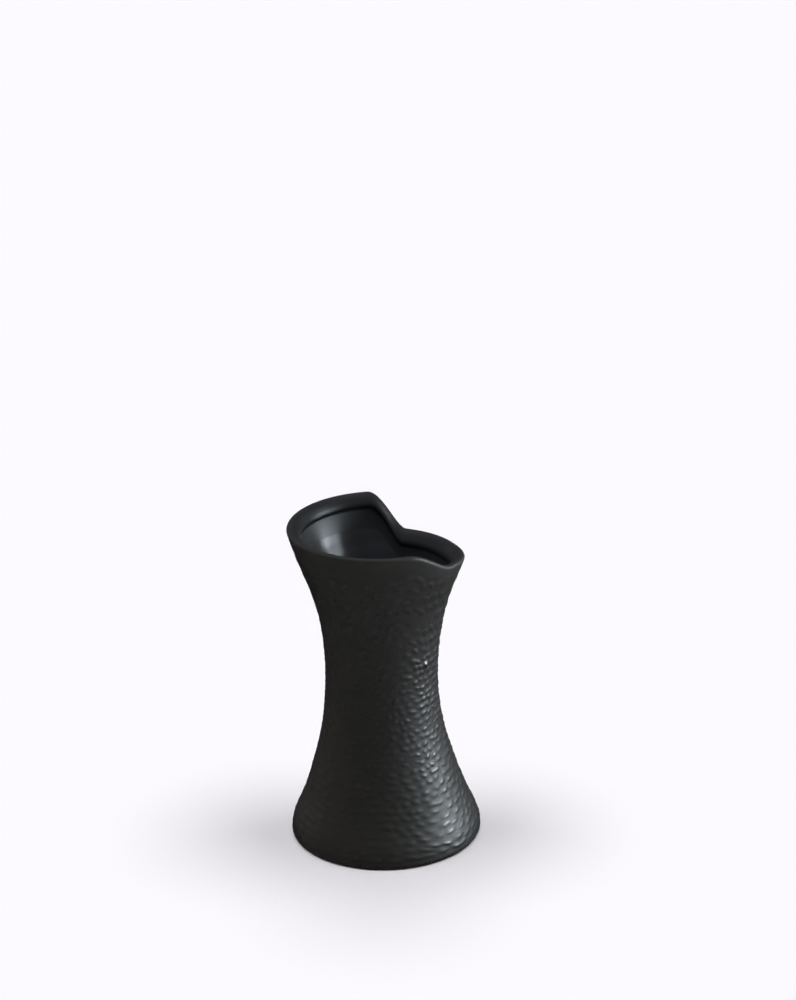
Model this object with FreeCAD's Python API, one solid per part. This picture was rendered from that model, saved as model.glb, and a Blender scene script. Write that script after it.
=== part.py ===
import FreeCAD, Part
import math
import os

# Stoneware vase: wide foot, narrow waist, flared mouth with one low swoop in its rim.
# Millimetres. The origin is the centre of the face it stands on, +Z is up and -Y is the front.

# Driving dimensions
HEIGHT = 175.0            # level stretch of the rim above the table
SHOULDER_DROP = 12.5      # how far the rim falls at its front shoulder
SIDE_DROP = 6.0           # and from there to its lowest stretch
WALL_THICKNESS = 3.8      # clay only, measured level
COAT_THICKNESS = 0.4      # each glaze coat
LIP_DEPTH = 7.0           # height of the smooth lip at the top of the wall
FOOT_HEIGHT = 1.0
FOOT_OUTER_RADIUS = 47.5
FOOT_INNER_RADIUS = 37.0
SLAB_THICKNESS = 6.0
COIL_SIZE = 7.0           # width and height of the coil pressed into the inside corner
COIL_HOLLOW = 0.3         # how deep its face dips towards the corner, as a share of the way

# Glazed outside of the vase: radius and height of the points that its curve passes through.
# The last one lies over the rim, in the clay that is trimmed away.
OUTLINE = [
    (50.7, FOOT_HEIGHT),
    (50.1, 6.0),
    (45.4, 18.0),
    (38.4, 38.0),
    (32.6, 60.0),
    (30.3, 78.0),
    (29.7, 92.0),
    (30.3, 106.0),
    (32.7, 124.0),
    (37.6, 142.0),
    (44.1, 160.0),
    (48.7, HEIGHT),
    (50.4, HEIGHT + 6.0),
]

# The low side of the rim, as azimuths in degrees from the front, round by the right (+X):
# a shoulder down at the front, an easy slope on along the side, and a steep shoulder up at the back
FRONT_SHOULDER = (18.0, 56.0)
SIDE_SLOPE = (40.0, 120.0)
BACK_SHOULDER = (160.0, 188.0)
RIM_POINTS = 72

# Space over the rim that the wall is trimmed with
TRIM_INNER_RADIUS = 24.0
TRIM_OUTER_RADIUS = 64.0
TRIM_HEIGHT = 60.0

SLAB_TOP = FOOT_HEIGHT + SLAB_THICKNESS
UNTRIMMED_TOP = OUTLINE[-1][1]
INSET_POINTS = 30
CLAY_ROUNDING = 0.46 * WALL_THICKNESS
COAT_ROUNDING = CLAY_ROUNDING + COAT_THICKNESS
AXIS_POINT = FreeCAD.Vector(0.0, 0.0, 0.0)
AXIS = FreeCAD.Vector(0.0, 0.0, 1.0)


# Half section, which lies over +X

def at(radius, height):
    return FreeCAD.Vector(radius, 0.0, height)


def smooth_curve(points):
    curve = Part.BSplineCurve()
    curve.interpolate(points)
    return curve


def crossing(curve, height):
    """Where a section curve crosses one height."""
    level = Part.Line(at(0.0, height), at(1.0, height))
    point = curve.intersect(level)[0]
    return at(point.X, height)


OUTSIDE = smooth_curve([at(radius, height) for radius, height in OUTLINE])


def inset(depth):
    """The outside moved towards the axis, as a curve of the same height."""
    points = [OUTSIDE.StartPoint]
    for index in range(1, INSET_POINTS):
        share = index / INSET_POINTS
        points.append(crossing(OUTSIDE, FOOT_HEIGHT + share * (UNTRIMMED_TOP - FOOT_HEIGHT)))
    points.append(OUTSIDE.EndPoint)
    return smooth_curve([point - at(depth, 0.0) for point in points])


COATED_OUTSIDE = inset(0.0)
CLAY_OUTSIDE = inset(COAT_THICKNESS)
CLAY_INSIDE = inset(COAT_THICKNESS + WALL_THICKNESS)
COATED_INSIDE = inset(2.0 * COAT_THICKNESS + WALL_THICKNESS)


def stretch(curve, low_point):
    """The part of a section curve from one of its points to its top."""
    return curve.toShape(curve.parameter(low_point), curve.LastParameter)


def straight(start, end):
    return Part.makeLine(start, end)


def turned(edges):
    """Solid made by turning a closed half section about the axis."""
    wire = Part.Wire(Part.__sortEdges__(edges))
    return Part.Face(wire).revolve(AXIS_POINT, AXIS, 360.0)


# Rim line

def smooth_step(value):
    share = min(max(value, 0.0), 1.0)
    return share * share * (3.0 - 2.0 * share)


def passed(azimuth, stretch_of_rim):
    """0 before a stretch of the rim, 1 after it and smooth between."""
    start, end = stretch_of_rim
    return smooth_step((azimuth - start) / (end - start))


def rim_height(azimuth):
    """Top of the rim: level, less the drop along its low side."""
    drop = SHOULDER_DROP * passed(azimuth, FRONT_SHOULDER) + SIDE_DROP * passed(azimuth, SIDE_SLOPE)
    return HEIGHT - drop * (1.0 - passed(azimuth, BACK_SHOULDER))


def rim_loop(radius, below_rim):
    """Closed smooth edge on a cylinder, a set distance under the rim line."""
    points = []
    for index in range(RIM_POINTS):
        azimuth = 360.0 * index / RIM_POINTS
        angle = math.radians(azimuth - 90.0)
        height = rim_height(azimuth) - below_rim
        points.append(FreeCAD.Vector(radius * math.cos(angle), radius * math.sin(angle), height))
    evenly = [float(index) for index in range(RIM_POINTS + 1)]
    curve = Part.BSplineCurve()
    curve.interpolate(Points=points, PeriodicFlag=True, Parameters=evenly)
    return curve.toShape()


def space_over_rim(below_rim):
    """Everything above a surface that follows the rim line at a set distance under it."""
    inner = rim_loop(TRIM_INNER_RADIUS, below_rim)
    outer = rim_loop(TRIM_OUTER_RADIUS, below_rim)
    return Part.makeRuledSurface(inner, outer).extrude(FreeCAD.Vector(0.0, 0.0, TRIM_HEIGHT))


def rim_trimmed(solid, below_rim, rounding):
    """Solid cut along the rim line, with both edges of its top rounded over."""
    trimmed = solid.cut(space_over_rim(below_rim)).Solids[0]
    lowest = HEIGHT - SHOULDER_DROP - SIDE_DROP - 2.0 * COAT_THICKNESS
    top_edges = [edge for edge in trimmed.Edges if edge.BoundBox.ZMin > lowest and edge.Length > LIP_DEPTH]
    return trimmed.makeFillet(rounding, top_edges).Solids[0]


# Inside corner

def corner_arc(lift):
    """Hollow face of the coil, or of the glaze that lies on it when it is lifted."""
    corner = crossing(CLAY_INSIDE, SLAB_TOP)
    foot = corner + at(-COIL_SIZE, lift)
    head = crossing(CLAY_INSIDE, SLAB_TOP + COIL_SIZE) + at(-lift, 0.0)
    middle = (foot + head) * 0.5
    dip = middle + (corner + at(-lift, lift) - middle) * COIL_HOLLOW
    return foot, head, Part.Arc(foot, dip, head).toShape()


# Pieces

def foot_ring():
    outer = Part.makeCylinder(FOOT_OUTER_RADIUS, FOOT_HEIGHT)
    inner = Part.makeCylinder(FOOT_INNER_RADIUS, FOOT_HEIGHT)
    return outer.cut(inner)


def floor_slab():
    edge = crossing(CLAY_OUTSIDE, SLAB_TOP)
    lowest = CLAY_OUTSIDE.StartPoint
    side = CLAY_OUTSIDE.toShape(CLAY_OUTSIDE.FirstParameter, CLAY_OUTSIDE.parameter(edge))
    return turned([
        straight(at(0.0, FOOT_HEIGHT), lowest),
        side,
        straight(edge, at(0.0, SLAB_TOP)),
        straight(at(0.0, SLAB_TOP), at(0.0, FOOT_HEIGHT)),
    ])


def corner_coil():
    foot, head, face = corner_arc(0.0)
    corner = crossing(CLAY_INSIDE, SLAB_TOP)
    back = CLAY_INSIDE.toShape(CLAY_INSIDE.parameter(corner), CLAY_INSIDE.parameter(head))
    return turned([straight(foot, corner), back, face])


def bare_wall():
    """Clay wall and lip in one, standing on the slab."""
    outer_low = crossing(CLAY_OUTSIDE, SLAB_TOP)
    inner_low = crossing(CLAY_INSIDE, SLAB_TOP)
    blank = turned([
        stretch(CLAY_OUTSIDE, outer_low),
        straight(CLAY_OUTSIDE.EndPoint, CLAY_INSIDE.EndPoint),
        stretch(CLAY_INSIDE, inner_low),
        straight(inner_low, outer_low),
    ])
    return rim_trimmed(blank, COAT_THICKNESS, CLAY_ROUNDING)


def glazed_vase():
    """The whole vase with its coats on, as one solid over the foot ring."""
    foot, head, hollow = corner_arc(COAT_THICKNESS)
    blank = turned([
        straight(at(0.0, FOOT_HEIGHT), COATED_OUTSIDE.StartPoint),
        stretch(COATED_OUTSIDE, COATED_OUTSIDE.StartPoint),
        straight(COATED_OUTSIDE.EndPoint, COATED_INSIDE.EndPoint),
        stretch(COATED_INSIDE, head),
        hollow,
        straight(foot, at(0.0, foot.z)),
        straight(at(0.0, foot.z), at(0.0, FOOT_HEIGHT)),
    ])
    return rim_trimmed(blank, 0.0, COAT_ROUNDING)


def glaze_coats(clay_wall, slab, coil, over_lip_line):
    """The coats are what the glazed vase has beyond its clay, parted at the lip line."""
    coats = glazed_vase().cut(clay_wall).cut(slab).cut(coil)
    lip_coat = coats.common(over_lip_line).Solids[0]
    outer, liner = sorted(coats.cut(over_lip_line).Solids, key=lambda solid: solid.BoundBox.ZMin)
    return lip_coat, outer, liner


def main():
    os.makedirs("parts", exist_ok=True)
    over_lip_line = space_over_rim(LIP_DEPTH)
    clay_wall = bare_wall()
    slab = floor_slab()
    coil = corner_coil()
    lip_glaze, outer_glaze, liner_glaze = glaze_coats(clay_wall, slab, coil, over_lip_line)
    pieces = {
        "foot_ring": foot_ring(),
        "floor_slab": slab,
        "corner_coil": coil,
        "wall": clay_wall.cut(over_lip_line).Solids[0],
        "rim_lip": clay_wall.common(over_lip_line).Solids[0],
        "outer_glaze": outer_glaze,
        "liner_glaze": liner_glaze,
        "lip_glaze": lip_glaze,
    }
    for name, shape in pieces.items():
        shape.exportStep("parts/" + name + ".step")
        print(name, shape.isValid(), round(shape.Volume / 1000.0, 2), "cm3")


main()
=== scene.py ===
import bpy
import numpy as np
from mathutils import Matrix, Vector


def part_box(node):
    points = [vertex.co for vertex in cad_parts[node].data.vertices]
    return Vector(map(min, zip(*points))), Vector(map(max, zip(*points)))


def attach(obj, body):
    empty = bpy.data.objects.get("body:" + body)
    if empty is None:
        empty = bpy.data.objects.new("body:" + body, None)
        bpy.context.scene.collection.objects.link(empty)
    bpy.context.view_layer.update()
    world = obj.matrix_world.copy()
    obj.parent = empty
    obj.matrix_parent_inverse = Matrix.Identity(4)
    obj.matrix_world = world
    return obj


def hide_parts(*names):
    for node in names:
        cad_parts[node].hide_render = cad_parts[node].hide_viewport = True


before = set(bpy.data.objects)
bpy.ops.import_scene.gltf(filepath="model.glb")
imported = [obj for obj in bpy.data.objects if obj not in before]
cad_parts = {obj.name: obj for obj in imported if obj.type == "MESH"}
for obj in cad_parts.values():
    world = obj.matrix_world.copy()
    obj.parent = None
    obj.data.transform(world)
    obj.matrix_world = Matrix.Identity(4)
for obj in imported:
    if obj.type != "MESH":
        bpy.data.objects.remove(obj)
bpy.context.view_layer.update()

# Lengths are in metres and azimuths in degrees. The vase stands on z = 0, azimuth 0 is its
# front (-Y) and azimuth 90 its right (+X).
MM = 0.001

# The glazed outside: height and radius of the points that the wall's curve passes through.
# The last one lies over the rim.
OUTLINE = MM * np.array([
    (1.0, 50.7),
    (6.0, 50.1),
    (18.0, 45.4),
    (38.0, 38.4),
    (60.0, 32.6),
    (78.0, 30.3),
    (92.0, 29.7),
    (106.0, 30.3),
    (124.0, 32.7),
    (142.0, 37.6),
    (160.0, 44.1),
    (175.0, 48.7),
    (181.0, 50.4),
])
WALL_HEIGHTS, WALL_RADII = OUTLINE.T

FOOT_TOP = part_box("foot_ring")[1][2]
FOOT_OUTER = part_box("foot_ring")[1][0]
FOOT_INNER = 37.0 * MM
SLAB_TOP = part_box("floor_slab")[1][2]
RIM_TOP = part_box("lip_glaze")[1][2]

THICKNESS = 4.6 * MM          # clay and both coats
COAT = 0.4 * MM
BACK_OF_COAT = 0.9 * COAT     # inner face of a coat, just clear of the clay
CLAY_INSIDE = THICKNESS - COAT    # how far the clay's inner face lies inside the outline
LIP_DEPTH = 7.0 * MM
LIP_BULGE = 1.6 * MM          # how much fuller than the wall the lip is inside
BULGE_DEPTH = 10.0 * MM       # and how far down that goes
COIL_SIZE = 7.0 * MM
COIL_HOLLOW = 0.3             # how deep the coil's face dips, as a share of the way to its corner
COIL_TOP = SLAB_TOP + COIL_SIZE

# The rim's low side: how far it falls at the front shoulder and then along the side, and the
# azimuths where each of its three stretches starts and ends
SHOULDER_DROP, SIDE_DROP = 12.5 * MM, 6.0 * MM
FRONT_SHOULDER, SIDE_SLOPE, BACK_SHOULDER = (18.0, 56.0), (40.0, 120.0), (160.0, 188.0)

# How far the hand-built wall strays from true
RIM_WAVER = 0.08 * MM
OUT_OF_ROUND = 0.12 * MM
WAIST_LEAN = 0.85 * MM        # to the left
LEAN_SPAN = 128 * MM          # height in which it leans over and comes back
MOUTH_PUSH = 0.80 * MM        # outwards, on the low side of the mouth
PUSHED_STRETCH = (136 * MM, 156 * MM)

COLUMNS = 384
AZIMUTHS = np.arange(COLUMNS) * 360.0 / COLUMNS


# ---------------------------------------------------------------- shapes as formulas

def spread(start, end, count):
    """Evenly spaced rows, as a column that works against the azimuths."""
    return np.linspace(start, end, count)[:, None]


def smooth_step(value):
    """0 up to 0, 1 from 1 on, and three squares less two cubes between."""
    share = np.clip(value, 0.0, 1.0)
    return share * share * (3.0 - 2.0 * share)


def cubic_slopes(known_x, known_y):
    """Slopes of the natural cubic through the points, from its three-term equations."""
    gap = np.diff(known_x)
    rise = np.diff(known_y) / gap
    count = len(known_x)
    terms = np.zeros((count, count))
    right = np.zeros(count)
    terms[0, :2], right[0] = (2.0, 1.0), 3.0 * rise[0]
    terms[-1, -2:], right[-1] = (1.0, 2.0), 3.0 * rise[-1]
    for row in range(1, count - 1):
        before, after = gap[row - 1], gap[row]
        terms[row, row - 1:row + 2] = after, 2.0 * (before + after), before
        right[row] = 3.0 * (after * rise[row - 1] + before * rise[row])
    return np.linalg.solve(terms, right)


WALL_SLOPES = cubic_slopes(WALL_HEIGHTS, WALL_RADII)


def wall_radius(height):
    """Radius of the outline at each height: a cubic from one of its points to the next, by their slopes."""
    index = np.clip(np.searchsorted(WALL_HEIGHTS, height) - 1, 0, len(WALL_HEIGHTS) - 2)
    gap = WALL_HEIGHTS[index + 1] - WALL_HEIGHTS[index]
    t = (height - WALL_HEIGHTS[index]) / gap
    near = (1.0 + 2.0 * t) * (1.0 - t) ** 2 * WALL_RADII[index]
    far = t * t * (3.0 - 2.0 * t) * WALL_RADII[index + 1]
    lean = t * (1.0 - t) ** 2 * WALL_SLOPES[index] + t * t * (t - 1.0) * WALL_SLOPES[index + 1]
    return near + far + lean * gap


def waves(azimuth, height, sizes, seed):
    """Slow unevenness between about -1 and 1: a few sine waves that wind up the vase both ways.

    Each size is a number of waves round the vase and the height in which they wind once."""
    dice = np.random.default_rng(seed)
    angle = np.radians(azimuth)
    total = 0.0
    for turns, length in sizes:
        phase = dice.uniform(0.0, 2.0 * np.pi, 2)
        total = total + np.sin(angle * turns + phase[0] + 2.0 * np.pi * height / length)
        total = total + np.cos(angle * turns - phase[1] - 1.7 * np.pi * height / length)
    return total / (2.0 * len(sizes))


def passed(place, stretch):
    """0 before a stretch, 1 after it and smooth between."""
    return smooth_step((place - stretch[0]) / (stretch[1] - stretch[0]))


def rim_line(azimuth):
    """Top of the rim: its full height less the drop along the low side, and a little unsteady."""
    drop = SHOULDER_DROP * passed(azimuth, FRONT_SHOULDER) + SIDE_DROP * passed(azimuth, SIDE_SLOPE)
    unsteady = RIM_WAVER * (1.0 + waves(azimuth, 0.0, [(3, 1.0), (7, 1.0)], 5))
    return RIM_TOP - drop * (1.0 - passed(azimuth, BACK_SHOULDER)) + unsteady


RIM = rim_line(AZIMUTHS)


def outside(height):
    """Radius of the hand-built wall for rows of heights: its outline, strayed a little from true.

    Above the corner coil it is out of round by slow waves, it leans to the left by a squared sine
    of the height, most at the waist, and the low side of the mouth is pushed out."""
    height = height + 0.0 * AZIMUTHS
    to_right = np.sin(np.radians(AZIMUTHS))
    up_body = np.clip((height - COIL_TOP) / LEAN_SPAN, 0.0, 1.0)
    uneven = OUT_OF_ROUND * waves(AZIMUTHS, height, [(2, 0.30), (3, 0.17), (5, 0.11)], 3)
    lean = WAIST_LEAN * np.sin(np.pi * up_body) ** 2 * to_right
    push = MOUTH_PUSH * passed(height, PUSHED_STRETCH) * np.clip(to_right, 0.0, 1.0) ** 2
    stray = (uneven - lean + push) * smooth_step((height - COIL_TOP) / (20 * MM))
    return wall_radius(height) + stray


def around(radius, height):
    """Points on level circles, one column for each azimuth."""
    angle = np.radians(AZIMUTHS)
    radius, height = np.broadcast_arrays(radius, height + 0.0 * AZIMUTHS)
    return np.stack([radius * np.sin(angle), -radius * np.cos(angle), height], axis=-1)


def ring_faces(rows, closed):
    """Four-cornered faces between neighbouring rows. The columns always close into a ring."""
    row = np.arange(rows if closed else rows - 1)[:, None] * COLUMNS
    above = (row + COLUMNS) % (rows * COLUMNS)
    column = np.arange(COLUMNS)[None, :]
    beside = (column + 1) % COLUMNS
    corners = np.broadcast_arrays(row + column, row + beside, above + beside, above + column)
    return np.stack(corners, axis=-1).reshape(-1, 4)


def pole_faces(pole, first, starts):
    """Triangles between a pole and the ring next to it, at the start or the end of the rows."""
    column = first + np.arange(COLUMNS)
    beside = first + (np.arange(COLUMNS) + 1) % COLUMNS
    middle = np.full(COLUMNS, pole)
    return np.stack((middle, beside, column) if starts else (column, beside, middle), axis=-1)


def add_mesh(name, points, groups, material):
    """A smooth surface from its points and its faces, which come in groups of one kind each:
    three-cornered or four-cornered."""
    sizes = np.concatenate([np.full(len(faces), faces.shape[1]) for faces in groups])
    corners = np.concatenate([faces.ravel() for faces in groups])
    mesh = bpy.data.meshes.new(name)
    mesh.vertices.add(len(points))
    mesh.vertices.foreach_set("co", points.astype(np.float32).ravel())
    mesh.loops.add(len(corners))
    mesh.loops.foreach_set("vertex_index", corners.astype(np.int32))
    mesh.polygons.add(len(sizes))
    mesh.polygons.foreach_set("loop_start", (np.cumsum(sizes) - sizes).astype(np.int32))
    mesh.update(calc_edges=True)
    mesh.polygons.foreach_set("use_smooth", np.ones(len(sizes), bool))
    mesh.set_sharp_from_angle(angle=np.radians(55.0))
    mesh.materials.append(material)
    made = bpy.data.objects.new(name, mesh)
    bpy.context.scene.collection.objects.link(made)
    return made


def make_piece(name, rows, material, stands_for, poles=(), facts=None):
    """Turns rows of points into a closed piece.

    Without poles the last row joins the first again; with two poles the rows run from one to
    the other. Facts are numbers for each point that the material reads."""
    points = rows.reshape(-1, 3)
    groups = [ring_faces(len(rows), closed=not poles)]
    if poles:
        count = len(points)
        groups.append(pole_faces(count, 0, True))
        groups.append(pole_faces(count + 1, count - COLUMNS, False))
        points = np.concatenate([points, [(0.0, 0.0, height) for height in poles]])
    piece = add_mesh(name, points, groups, material)
    for fact, values in (facts or {}).items():
        numbers = piece.data.attributes.new(fact, "FLOAT", "POINT").data
        numbers.foreach_set("value", values.astype(np.float32).ravel())
    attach(piece, "root")
    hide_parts(stands_for)
    return piece


# ---------------------------------------------------------------- shader recipes

class Number:
    """A number that changes over a surface: arithmetic on it adds Math nodes."""

    def __init__(self, recipe, socket):
        self.recipe = recipe
        self.socket = socket

    def maths(self, operation, first, second):
        made = self.recipe.node("ShaderNodeMath", {"operation": operation}, {0: first, 1: second})
        return Number(self.recipe, made.outputs[0])

    def __add__(self, other):
        return self.maths("ADD", self, other)

    def __radd__(self, other):
        return self.maths("ADD", other, self)

    def __sub__(self, other):
        return self.maths("SUBTRACT", self, other)

    def __rsub__(self, other):
        return self.maths("SUBTRACT", other, self)

    def __mul__(self, other):
        return self.maths("MULTIPLY", self, other)

    def __rmul__(self, other):
        return self.maths("MULTIPLY", other, self)


class Recipe:
    """One material and the nodes that make it."""

    def __init__(self, name, constants):
        self.material = bpy.data.materials.new(name)
        self.material.use_nodes = True
        self.tree = self.material.node_tree
        self.surface = self.tree.nodes["Principled BSDF"]
        for socket, value in constants.items():
            self.surface.inputs[socket].default_value = value
        self.place = self.node("ShaderNodeTexCoord").outputs["Object"]

    def node(self, kind, settings=None, inputs=None):
        """Adds one node: its settings first, then its sockets' values or links."""
        made = self.tree.nodes.new(kind)
        for setting, value in (settings or {}).items():
            setattr(made, setting, value)
        for socket, value in (inputs or {}).items():
            self.feed(made.inputs[socket], value)
        return made

    def feed(self, socket, value):
        """Links a socket to a number or another socket, or sets its value."""
        source = value.socket if isinstance(value, Number) else value
        if isinstance(source, bpy.types.NodeSocket):
            self.tree.links.new(source, socket)
        else:
            socket.default_value = source

    def noise(self, size, detail=3.0, stretch=(1.0, 1.0, 1.0)):
        """Cloudy 0 to 1 pattern whose blotches are about one size across."""
        place = self.node("ShaderNodeMapping", {}, {"Vector": self.place, "Scale": stretch}).outputs[0]
        inputs = {"Vector": place, "Scale": 1.0 / size, "Detail": detail}
        made = self.node("ShaderNodeTexNoise", {}, inputs)
        return Number(self, made.outputs[0])

    def spots(self, size):
        """Distance from scattered points, 0 at each one."""
        made = self.node("ShaderNodeTexVoronoi", {}, {"Vector": self.place, "Scale": 1.0 / size})
        return Number(self, made.outputs["Distance"])

    def fact(self, name):
        """One of the piece's own numbers."""
        made = self.node("ShaderNodeAttribute", {"attribute_name": name})
        return Number(self, made.outputs["Fac"])

    def stepped(self, value, low, high):
        """0 under low, 1 over high and smooth between."""
        settings = {"interpolation_type": "SMOOTHSTEP"}
        inputs = {"Value": value, "From Min": low, "From Max": high}
        made = self.node("ShaderNodeMapRange", settings, inputs)
        return Number(self, made.outputs[0])

    def blend(self, share, first, second):
        """One colour turning into another."""
        ends = [(*colour, 1.0) if isinstance(colour, tuple) else colour for colour in (first, second)]
        made = self.node("ShaderNodeMix", {"data_type": "RGBA"}, {0: share, 6: ends[0], 7: ends[1]})
        return made.outputs[2]

    def finish(self, colour, roughness, bump=None, bump_depth=0.0):
        """Joins the colour, roughness and fine relief to the surface."""
        self.feed(self.surface.inputs["Base Color"], colour)
        self.feed(self.surface.inputs["Roughness"], roughness)
        if bump is not None:
            made = self.node("ShaderNodeBump", {}, {"Height": bump, "Distance": bump_depth})
            self.feed(self.surface.inputs["Normal"], made.outputs[0])
        return self.material


# Cool black of the lip's inside and of the liner just under it: the glaze's own black, darker than the
# liner as painted shade for the band under the lip
INNER_LIP_BLACK_AND_SHADE = (0.0250, 0.0262, 0.0280)


def matt_black(recipe):
    """Soft, very dark grey that drifts a little warmer and cooler."""
    cloud = recipe.noise(18 * MM)
    return recipe.blend(cloud, (0.0252, 0.0246, 0.0216), (0.0312, 0.0306, 0.0272))


def dry_black_glaze():
    """Matt black, silkier on the crests and wet-looking on the bead; the crests are painted paler, a
    painted highlight on the raised strokes.
    """
    recipe = Recipe("dry_black_glaze", {"Specular IOR Level": 0.28, "Coat Roughness": 0.30})
    relief = recipe.fact("relief")
    crest = recipe.stepped(relief, 0.25, 0.85)
    wet = recipe.stepped(relief, 1.2, 1.7)
    mottle = recipe.noise(2.2 * MM, 4.0)
    grain = recipe.noise(0.5 * MM, 2.0)
    # Painted highlight: the crests are painted paler than the ground between the strokes.
    tone = recipe.blend(crest * mottle, matt_black(recipe), (0.034, 0.034, 0.032))
    recipe.feed(recipe.surface.inputs["Coat Weight"], 0.08 + 0.42 * crest + 0.5 * wet)
    roughness = 0.52 + 0.08 * mottle - 0.10 * crest - 0.15 * wet
    return recipe.finish(tone, roughness, 0.6 * grain + 0.4 * mottle, 0.06 * MM)


def satin_black_glaze():
    """The smooth coat of the lip: as dry as the wall on its outside, silkier and cooler inside, where its
    dark tone is partly painted shade under the lip.
    """
    recipe = Recipe("satin_black_glaze", {"Specular IOR Level": 0.09, "Coat Roughness": 0.55})
    inside = recipe.fact("inside")
    mottle = recipe.noise(2.2 * MM, 4.0)
    # Inside, the lip takes the dark tone that is partly painted shade under the lip.
    tone = recipe.blend(inside, matt_black(recipe), INNER_LIP_BLACK_AND_SHADE)
    roughness = 0.60 + 0.08 * mottle - 0.29 * inside
    recipe.feed(recipe.surface.inputs["Coat Weight"], 0.48 - 0.48 * inside)
    return recipe.finish(tone, roughness, mottle, 0.05 * MM)


def gloss_black_glaze():
    """Liner: wet-looking black, gently uneven where the glaze ran; its bluish grey is partly painted
    reflection, and just under the lip it is silkier and painted darker as shade.
    """
    recipe = Recipe("gloss_black_glaze", {"Specular IOR Level": 0.17})
    run = recipe.noise(9 * MM, 2.0, (1.0, 1.0, 0.35))
    silk_and_shade_under_lip = recipe.fact("silk_and_shade_under_lip")
    # Painted reflection: the glaze's black is lifted to a bluish grey that stands in for the pale room
    # mirrored inside.
    tone = recipe.blend(run, (0.034, 0.037, 0.042), (0.047, 0.051, 0.057))
    # Painted shade: just under the lip the liner darkens to the lip's black.
    tone = recipe.blend(silk_and_shade_under_lip, tone, INNER_LIP_BLACK_AND_SHADE)
    return recipe.finish(tone, 0.20 + 0.08 * run + 0.28 * silk_and_shade_under_lip, run, 0.10 * MM)


def bare_clay():
    """Unglazed dark stoneware: dry and sandy, with darker grog in it."""
    recipe = Recipe("bare_clay", {"Specular IOR Level": 0.2})
    cloud = recipe.noise(12 * MM)
    sand = recipe.noise(0.5 * MM, 3.0)
    grog = recipe.stepped(0.16 - recipe.spots(1.6 * MM), 0.0, 0.06)
    tone = recipe.blend(cloud, (0.120, 0.094, 0.075), (0.170, 0.135, 0.108))
    tone = recipe.blend(sand * 0.5, tone, (0.075, 0.058, 0.046))
    tone = recipe.blend(grog * 0.7, tone, (0.045, 0.038, 0.033))
    return recipe.finish(tone, 0.84 + 0.12 * sand, sand, 0.18 * MM)


def pale_floor():
    """Matt off-white, very slightly clouded."""
    recipe = Recipe("pale_floor", {"Specular IOR Level": 0.0})
    cloud = recipe.noise(0.6)
    tone = recipe.blend(cloud, (0.878, 0.871, 0.900), (0.882, 0.875, 0.904))
    return recipe.finish(tone, 0.75 + 0.1 * cloud)


def pale_haze():
    """Even off-white glow for the far backdrop."""
    recipe = Recipe("pale_haze", {"Specular IOR Level": 0.0, "Emission Strength": 1.0})
    recipe.feed(recipe.surface.inputs["Emission Color"], (0.971, 0.957, 0.990, 1.0))
    return recipe.finish((0.0, 0.0, 0.0, 1.0), 1.0)


DRY = dry_black_glaze()
SATIN = satin_black_glaze()
GLOSS = gloss_black_glaze()
CLAY = bare_clay()


# ---------------------------------------------------------------- texture of the outside

CELLS_ROUND = 40
ROW_LOW = 3.9 * MM            # row height up to the waist
ROW_HIGH = 7.2 * MM           # and in the neck, where the marks are upright bars
ROWS_GROW = (98 * MM, 132 * MM)
SPARE_ROWS = 2                # below the foot, and twice as many above the rim
ASTRAY_ROUND = 0.26           # how far a stroke lies from its cell's middle, in cells
ASTRAY_UP = 0.18              # and in rows
STROKE_REACH = 0.58           # half a stroke's width, in cells
STROKE_RISE = 0.50            # half its height, in rows
DEEPEST_MARK = 1.1            # strokes that overlap stop here
RELIEF = 0.50 * MM            # height of a crest
NECK_EXTRA = 0.10             # how much bolder the strokes are in the neck
BOLDER_STRETCH = (115 * MM, 145 * MM)
RELIEF_SUNK = 0.10 * MM       # the ground between them lies this far inside the plain outline
SMOOTH_BAND = 6.0 * MM        # plain strip under the rim
BAND_FADE = 7.0 * MM          # height in which the strokes set in under it
FOOT_FADE = 3.0 * MM          # and over the foot
FOOT_ROUNDING = 0.7 * MM

BEAD_AZIMUTH = 48.0
BEAD_PLACE = 104 * MM         # its height on the vase
BEAD_REACH = 2.3 * MM
BEAD_RELIEF = 0.8 * MM
BEAD_MARK = 2.0               # what the bead adds to the relief that the glaze reads


def row_number(height):
    """Rows counted from the foot: one over the row height, added up on the way there."""
    steps = np.linspace(0.0, RIM_TOP, 400)
    rate = 1.0 / (ROW_LOW + (ROW_HIGH - ROW_LOW) * passed(steps, ROWS_GROW))
    counted = np.cumsum(rate) * (steps[1] - steps[0])
    return np.interp(height, steps, counted)


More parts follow.
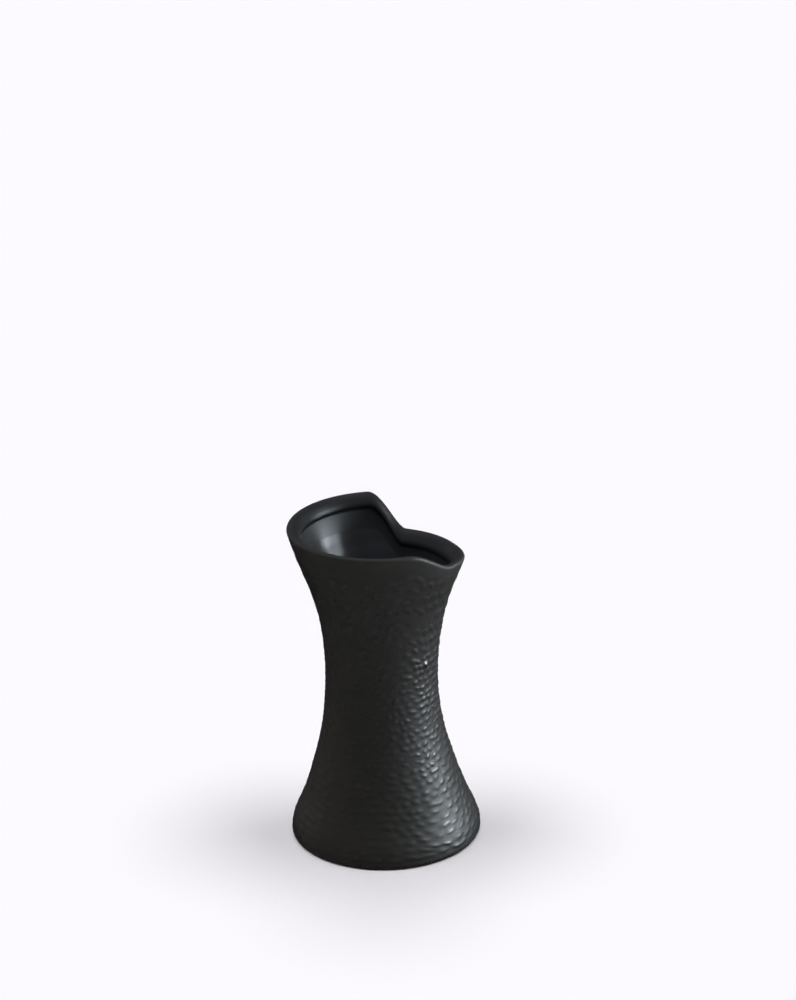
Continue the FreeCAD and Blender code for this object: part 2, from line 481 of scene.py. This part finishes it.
def pressed_marks(azimuth, height):
    """0 on the ground and about 1 on the crests of low rounded strokes laid like bricks.

    Each cell holds one stroke: an oval hump, the square of one less the squared distance from its
    middle. Going round the vase the strokes lean to the left and to the right by turns, each with
    a little lean of its own, and the left side is pressed more lightly. Every point adds up the
    strokes of its own cell and of the eight round it."""
    chance = np.random.default_rng(7)
    rows = int(row_number(RIM_TOP)) + 3 * SPARE_ROWS
    shift = chance.uniform(-1.0, 1.0, (rows, CELLS_ROUND, 2))
    size = chance.uniform(0.45, 1.0, (rows, CELLS_ROUND))
    lean = chance.uniform(-0.5, 0.5, (rows, CELLS_ROUND))
    row_place = SPARE_ROWS + row_number(height)
    row_place = row_place + 0.4 * waves(azimuth, height, [(2, 0.40), (5, 0.15)], 11)
    place = azimuth * CELLS_ROUND / 360.0 + 0.5 * waves(azimuth, height, [(3, 0.10), (7, 0.05)], 12)
    slant = 0.50 * np.cos(np.radians(4.0 * azimuth - 110.0))
    slant = slant + 0.35 * waves(azimuth, height, [(3, 0.12), (5, 0.07)], 13)
    total = np.zeros(azimuth.shape)
    for row_step in (-1, 0, 1):
        row = np.floor(row_place).astype(int) + row_step
        stagger = 0.5 * (row % 2)
        for step in (-1, 0, 1):
            column = np.floor(place - stagger).astype(int) + step
            wrapped = column % CELLS_ROUND
            beside = place - (column + 0.5 + stagger + ASTRAY_ROUND * shift[row, wrapped, 0])
            over = row_place - (row + 0.5 + ASTRAY_UP * shift[row, wrapped, 1])
            along = beside + (slant + lean[row, wrapped]) * over
            distance = (along / STROKE_REACH) ** 2 + (over / STROKE_RISE) ** 2
            total += size[row, wrapped] * np.clip(1.0 - distance, 0.0, 1.0) ** 2
    patchy = 0.95 + 0.2 * waves(azimuth, height, [(3, 0.08), (5, 0.05)], 14)
    lightly = np.clip(-np.sin(np.radians(azimuth)), 0.0, 1.0)
    return np.minimum(total * patchy * (1.0 - 0.5 * lightly), DEEPEST_MARK)


def glaze_bead(azimuth, height):
    """One stray drop of glaze at the right of the waist: a bell curve of the distance from its middle."""
    across = np.radians(azimuth - BEAD_AZIMUTH) * wall_radius(BEAD_PLACE)
    return np.exp(-(across ** 2 + (height - BEAD_PLACE) ** 2) / BEAD_REACH ** 2)


# ---------------------------------------------------------------- pieces

def textured_skin():
    """The wall's outline with the pressed marks on it, rounded under at the foot, and a plain back."""
    top = RIM - LIP_DEPTH
    low = FOOT_TOP + FOOT_ROUNDING
    height = low + (top - low) * spread(0.0, 1.0, 238)
    azimuth = np.broadcast_to(AZIMUTHS, height.shape)
    fade = smooth_step((RIM - height - SMOOTH_BAND) / BAND_FADE) * smooth_step((height - low) / FOOT_FADE)
    bolder = 1.0 + NECK_EXTRA * passed(height, BOLDER_STRETCH)
    bead = glaze_bead(azimuth, height)
    relief = pressed_marks(azimuth, height) * fade * bolder
    radius = outside(height) + relief * RELIEF - RELIEF_SUNK * fade + bead * BEAD_RELIEF

    bend = spread(0.0, 0.5 * np.pi, 6)[:-1]
    under = around(radius[:1] - FOOT_ROUNDING * (1.0 - np.sin(bend)), low - FOOT_ROUNDING * np.cos(bend))
    behind = top + (low - top) * spread(0.0, 1.0, 9)
    back = around(outside(behind) - BACK_OF_COAT, behind)
    corner = around(radius[:1] - FOOT_ROUNDING - BACK_OF_COAT, np.array([[FOOT_TOP]]))
    rows = np.concatenate([under, around(radius, height), back, corner])

    # The bead's numbers go past the strokes', so that the glaze can tell it from them
    plain_before = np.zeros((len(under), COLUMNS))
    plain_after = np.zeros((len(back) + len(corner), COLUMNS))
    facts = {"relief": np.concatenate([plain_before, relief + BEAD_MARK * bead, plain_after])}
    return make_piece("textured_wall_skin", rows, DRY, "outer_glaze", facts=facts)


def inner_bulge(depth):
    """How much fuller the lip is inside: a squared sine of the depth, which ends a little under it."""
    return LIP_BULGE * np.sin(np.pi * np.clip(depth / BULGE_DEPTH, 0.0, 1.0)) ** 2


def rim_stretch():
    """How much longer than level the rim runs where it climbs."""
    climb = (np.roll(RIM, -1) - np.roll(RIM, 1)) / 2.0
    level = wall_radius(RIM) * 2.0 * np.pi / COLUMNS
    return np.sqrt(1.0 + (climb / level) ** 2)


LIP_ROUNDING = 0.47           # of each top edge, as a share of the lip's thickness
INNER_FINISH = (0.30, 0.60)   # where the inner finish sets in, as shares of the way over the lip


def lip_rows(inset, count):
    """Up the outside of the lip, over its top and down its inside, set in by the same all over.

    Outside and inside each turn over the top in a quarter of an ellipse, whose upright half is
    stretched where the rim climbs, so that the lip looks as round there as where it is level."""
    thickness = THICKNESS - 2.0 * inset
    rounding = LIP_ROUNDING * thickness
    drop = rounding * rim_stretch()
    turn = spread(0.0, np.pi, count)
    side = spread(0.0, 1.0, 12)[:-1]
    lowest = LIP_DEPTH - inset
    up = lowest + (drop - lowest) * side
    depth = np.concatenate([up, drop * (1.0 - np.sin(turn)), up[::-1]])
    over = rounding * (1.0 - np.cos(turn)) + (thickness - 2.0 * rounding) * (turn > 0.5 * np.pi)
    across = np.concatenate([np.zeros(side.shape), over, np.full(side.shape, thickness)])
    height = RIM - inset - depth
    fuller = smooth_step(across / thickness) * inner_bulge(depth)
    return around(outside(height) - inset - across - fuller, height)


def smooth_lip():
    """Coat of the lip: the rows over its face and, a coat's thickness in, the same rows back."""
    face = lip_rows(0.0, 22)
    back = lip_rows(BACK_OF_COAT, 14)[::-1]
    rows = np.concatenate([face, back])
    inside = np.zeros((len(rows), COLUMNS))
    inside[:len(face)] = passed(spread(0.0, 1.0, len(face)), INNER_FINISH)
    facts = {"inside": inside}
    return make_piece("smooth_lip_skin", rows, SATIN, "lip_glaze", facts=facts)


def coil_rows(lift, count):
    """Hollow face of the coil from the wall to the floor: a parabola pulled towards the corner."""
    corner = wall_radius(SLAB_TOP) - CLAY_INSIDE
    head = np.array([wall_radius(COIL_TOP) - CLAY_INSIDE - lift, COIL_TOP])
    foot = np.array([corner - COIL_SIZE, SLAB_TOP + lift])
    middle = 0.5 * (head + foot)
    pull = middle + 2.0 * COIL_HOLLOW * (np.array([corner - lift, SLAB_TOP + lift]) - middle)
    t = spread(0.0, 1.0, count)
    curve = (1.0 - t) ** 2 * head + 2.0 * t * (1.0 - t) * pull + t * t * foot
    return around(curve[:, :1], curve[:, 1:])


# Ridges that the potter's fingers leave inside: their height and how far apart they are
WALL_RIDGE, WALL_RIDGE_PITCH = 0.05 * MM, 8.5 * MM
FLOOR_RIDGE, FLOOR_RIDGE_PITCH = 0.10 * MM, 5.0 * MM

# Over this depth the liner is also painted darker, as painted shade under the lip.
SILK_AND_SHADE_UNDER_LIP = 3.5 * MM    # how far the lip's silkier coat runs down into the liner


def liner_rows(lift, side_count, coil_count, floor_count, ridged):
    """Inside of the wall from the lip down, the hollow coil in the corner and the floor to its middle.

    Lift is how far the face stands off the clay. On a ridged face a sine wave winds down the wall
    and another into the middle of the floor, fading out at the lip, the coil and the middle."""
    top = RIM - LIP_DEPTH
    height = top + (COIL_TOP - top) * spread(0.0, 1.0, side_count)
    depth = RIM - height
    ridges = WALL_RIDGE * np.sin(2.0 * np.pi * height / WALL_RIDGE_PITCH + np.radians(AZIMUTHS)) * ridged
    ridges = ridges * smooth_step((depth - BULGE_DEPTH) / (12 * MM))
    ridges = ridges * smooth_step((height - COIL_TOP) / (10 * MM))
    side = around(outside(height) - CLAY_INSIDE - lift - inner_bulge(depth) + ridges, height)

    coil = coil_rows(lift, coil_count)[1:]

    inner = wall_radius(SLAB_TOP) - CLAY_INSIDE - COIL_SIZE
    reach = inner * (1.0 - spread(0.0, 0.985, floor_count)[1:])
    swirl = FLOOR_RIDGE * np.sin(2.0 * np.pi * reach / FLOOR_RIDGE_PITCH + np.radians(AZIMUTHS)) * ridged
    swirl = swirl * smooth_step((inner - reach) / (6 * MM)) * smooth_step(reach / (6 * MM))
    floor = around(reach, SLAB_TOP + lift + swirl)
    return np.concatenate([side, coil, floor])


def gloss_liner():
    """Glaze inside the vase, as a thin closed skin from the lip to the middle of the floor."""
    off_clay = COAT - BACK_OF_COAT
    back = liner_rows(off_clay, side_count=12, coil_count=6, floor_count=5, ridged=False)
    face = liner_rows(COAT, side_count=120, coil_count=16, floor_count=18, ridged=True)
    poles = (SLAB_TOP + off_clay, SLAB_TOP + COAT)
    rows = np.concatenate([back[::-1], face])
    under_lip = RIM - LIP_DEPTH - rows[..., 2]
    # Under the lip the liner is painted darker, as painted shade, and made silkier.
    facts = {"silk_and_shade_under_lip": np.append(1.0 - smooth_step(under_lip / SILK_AND_SHADE_UNDER_LIP), [0.0, 0.0])}
    return make_piece("gloss_liner", rows, GLOSS, "liner_glaze", poles, facts)


def clay_wall():
    """The clay between the two coats, up its outside and down its inside, from the slab to the lip."""
    height = SLAB_TOP + (RIM - LIP_DEPTH - SLAB_TOP) * spread(0.0, 1.0, 48)
    outer = outside(height) - COAT
    inner = outside(height) - CLAY_INSIDE - inner_bulge(RIM - height)
    rows = np.concatenate([around(outer, height), around(inner, height)[::-1]])
    return make_piece("clay_wall", rows, CLAY, "wall")


def clay_lip():
    """The clay under the lip's coat: the lip's rows, a coat's thickness in."""
    return make_piece("clay_lip", lip_rows(COAT, 14), CLAY, "rim_lip")


def clay_coil():
    """Coil in the inside corner: its hollow face, the wall behind it and the floor under it."""
    face = coil_rows(0.0, 10)
    corner = around(wall_radius(SLAB_TOP) - CLAY_INSIDE, np.array([[SLAB_TOP]]))
    return make_piece("clay_coil", np.concatenate([face, corner]), CLAY, "corner_coil")


TRIM_RING, TRIM_RING_PITCH = 0.10 * MM, 3.4 * MM
BASE_DISH = 0.35 * MM         # how far the underside rises to its middle


def trimmed_base():
    """Slab under the vase: a disc with a bevelled edge and a slightly dished underside.

    Inside the foot ring the trimming rings are a sine wave of the radius that winds to the middle."""
    bevel = FOOT_ROUNDING
    reach = (wall_radius(FOOT_TOP) - COAT - bevel) * spread(0.015, 1.0, 60)
    rings = TRIM_RING * (1.0 + np.sin(2.0 * np.pi * reach / TRIM_RING_PITCH + np.radians(AZIMUTHS)))
    rings = rings + BASE_DISH * smooth_step((FOOT_INNER - reach) / FOOT_INNER)
    rings = rings * smooth_step((FOOT_INNER - reach) / (3 * MM))
    under = around(reach, FOOT_TOP + rings)
    side_height = spread(FOOT_TOP + bevel, SLAB_TOP, 5)
    side = around(wall_radius(side_height) - COAT, side_height)
    over = around((wall_radius(SLAB_TOP) - COAT) * spread(1.0, 0.02, 6)[1:], np.array([[SLAB_TOP]]))
    rows = np.concatenate([under, side, over])
    poles = (under[0, 0, 2], SLAB_TOP)
    return make_piece("trimmed_base", rows, CLAY, "floor_slab", poles=poles)


WORN_EDGE = 0.55 * MM


def turned_foot():
    """Ring that the vase stands on: a flat band with both lower edges worn to quarter circles."""
    bend = spread(0.0, 0.5 * np.pi, 7)
    outer = around(FOOT_OUTER - WORN_EDGE * (1.0 - np.sin(bend)), WORN_EDGE * (1.0 - np.cos(bend)))
    top = around(np.array([[FOOT_OUTER], [FOOT_INNER]]), np.array([[FOOT_TOP], [FOOT_TOP]]))
    inner = around(FOOT_INNER + WORN_EDGE * (1.0 - np.cos(bend)), WORN_EDGE * (1.0 - np.sin(bend)))
    rows = np.concatenate([outer, top, inner])
    return make_piece("turned_foot", rows, CLAY, "foot_ring")


# ---------------------------------------------------------------- studio

GROUND_RADIUS = 6.0
GROUND_LEVEL = -0.02 * MM     # just clear of the foot
BACKDROP_RADIUS = 6.2

KEY_SPREAD = 27.0             # degrees across each soft key
DAYLIGHT = (0.84, 0.93, 1.0)


def pale_ground():
    """A wide flat disc, its rings closer together near the vase: the square of an even spread."""
    radii = GROUND_RADIUS * spread(1.0, 0.02, 24) ** 2
    points = around(radii, np.full(radii.shape, GROUND_LEVEL)).reshape(-1, 3)
    count = len(points)
    groups = [ring_faces(len(radii), closed=False), pole_faces(count, count - COLUMNS, False)]
    points = np.concatenate([points, [(0.0, 0.0, GROUND_LEVEL)]])
    floor = add_mesh("floor", points, groups, pale_floor())
    floor.visible_glossy = False


def far_backdrop():
    """A great ball round the studio that only the camera sees, so that the floor has no dark beyond."""
    turn = spread(0.0, np.pi, 34)[1:-1]
    points = around(BACKDROP_RADIUS * np.sin(turn), BACKDROP_RADIUS * np.cos(turn)).reshape(-1, 3)
    count = len(points)
    groups = [
        ring_faces(len(turn), closed=False),
        pole_faces(count, 0, True),
        pole_faces(count + 1, count - COLUMNS, False),
    ]
    points = np.concatenate([points, [(0.0, 0.0, BACKDROP_RADIUS), (0.0, 0.0, -BACKDROP_RADIUS)]])
    backdrop = add_mesh("backdrop", points, groups, pale_haze())
    backdrop.visible_diffuse = False
    backdrop.visible_glossy = False
    backdrop.visible_shadow = False


def place_light(name, lamp, place, aim):
    """Puts a lamp where the camera doesn't see it, turned towards its aim."""
    light = bpy.data.objects.new(name, lamp)
    light.location = place
    light.rotation_euler = (Vector(aim) - Vector(place)).to_track_quat("-Z", "Y").to_euler()
    light.visible_camera = False
    bpy.context.scene.collection.objects.link(light)
    return light


def shine(name, place, aim, width, height, watts, colour):
    """A soft light that is seen only as a reflection."""
    lamp = bpy.data.lights.new(name, "AREA")
    lamp.shape = "RECTANGLE"
    lamp.size, lamp.size_y = width, height
    lamp.energy = watts
    lamp.color = colour
    place_light(name, lamp, place, aim).visible_diffuse = False


def soft_key(name, place, strength):
    """Wide, even light from high up, for the soft shadow round the foot."""
    lamp = bpy.data.lights.new(name, "SUN")
    lamp.energy = strength
    lamp.angle = np.radians(KEY_SPREAD)
    lamp.color = (1.0, 0.985, 0.995)
    place_light(name, lamp, place, (0.0, 0.0, 0.0)).visible_glossy = False


def studio_lights():
    """Soft light from high up on three sides, and what the glazes mirror.

    That is two narrow windows at the right, pale walls, the gleam of the floor and a ceiling."""
    middle = (0.0, 0.0, 0.09)
    soft_key("soft_key_left", (-0.30, 0.03, 0.92), 1.32)
    soft_key("soft_key_right", (0.30, 0.03, 0.92), 1.32)
    soft_key("soft_key_back", (0.0, 0.38, 0.92), 0.86)
    shine("window", (1.20, 0.06, 0.38), middle, 0.26, 0.88, 22.0, DAYLIGHT)
    shine("second_window", (1.17, -0.26, 0.38), middle, 0.30, 0.88, 14.0, DAYLIGHT)
    shine("right_wall", (1.75, 0.85, 0.45), middle, 1.6, 1.2, 5.2, (0.90, 0.96, 1.0))
    shine("left_wall", (-1.6, 0.9, 0.45), middle, 1.8, 1.2, 3.2, (1.0, 0.99, 0.94))
    shine("floor_gleam", (0.75, 0.0, 0.01), (0.75, 0.0, 1.0), 1.0, 1.4, 4.4, (0.98, 0.98, 1.0))
    shine("ceiling", (0.0, 0.2, 2.0), middle, 2.4, 2.4, 6.0, (0.92, 0.96, 1.0))


def studio_air():
    """The little light that comes from every side, which isn't mirrored."""
    world = bpy.data.worlds.new("studio")
    world.use_nodes = True
    background = world.node_tree.nodes["Background"]
    background.inputs["Color"].default_value = (1.0, 1.0, 1.0, 1.0)
    background.inputs["Strength"].default_value = 0.06
    world.cycles_visibility.glossy = False
    bpy.context.scene.world = world


def studio_camera():
    """Looks down at the rim from the front, with the horizon a degree off level."""
    tilt, roll, distance = np.radians(21.7), np.radians(1.15), 1.5
    aim = Vector((9.8 * MM, 0.0, 188.4 * MM))
    back = Vector((0.0, -np.cos(tilt), np.sin(tilt)))
    level_up = Vector((0.0, np.sin(tilt), np.cos(tilt)))
    right = Vector((np.cos(roll), 0.0, 0.0)) - level_up * np.sin(roll)
    up = Vector((np.sin(roll), 0.0, 0.0)) + level_up * np.cos(roll)
    lens = bpy.data.cameras.new("camera")
    lens.sensor_width = 36.0
    lens.lens = 104.8
    camera = bpy.data.objects.new("camera", lens)
    turn = Matrix((right, up, back)).transposed().to_4x4()
    camera.matrix_world = Matrix.Translation(aim + back * distance) @ turn
    bpy.context.scene.collection.objects.link(camera)
    bpy.context.scene.camera = camera


textured_skin()
smooth_lip()
gloss_liner()
trimmed_base()
turned_foot()
clay_wall()
clay_lip()
clay_coil()
pale_ground()
far_backdrop()
studio_lights()
studio_air()
studio_camera()
bpy.context.scene.view_settings.view_transform = "Standard"
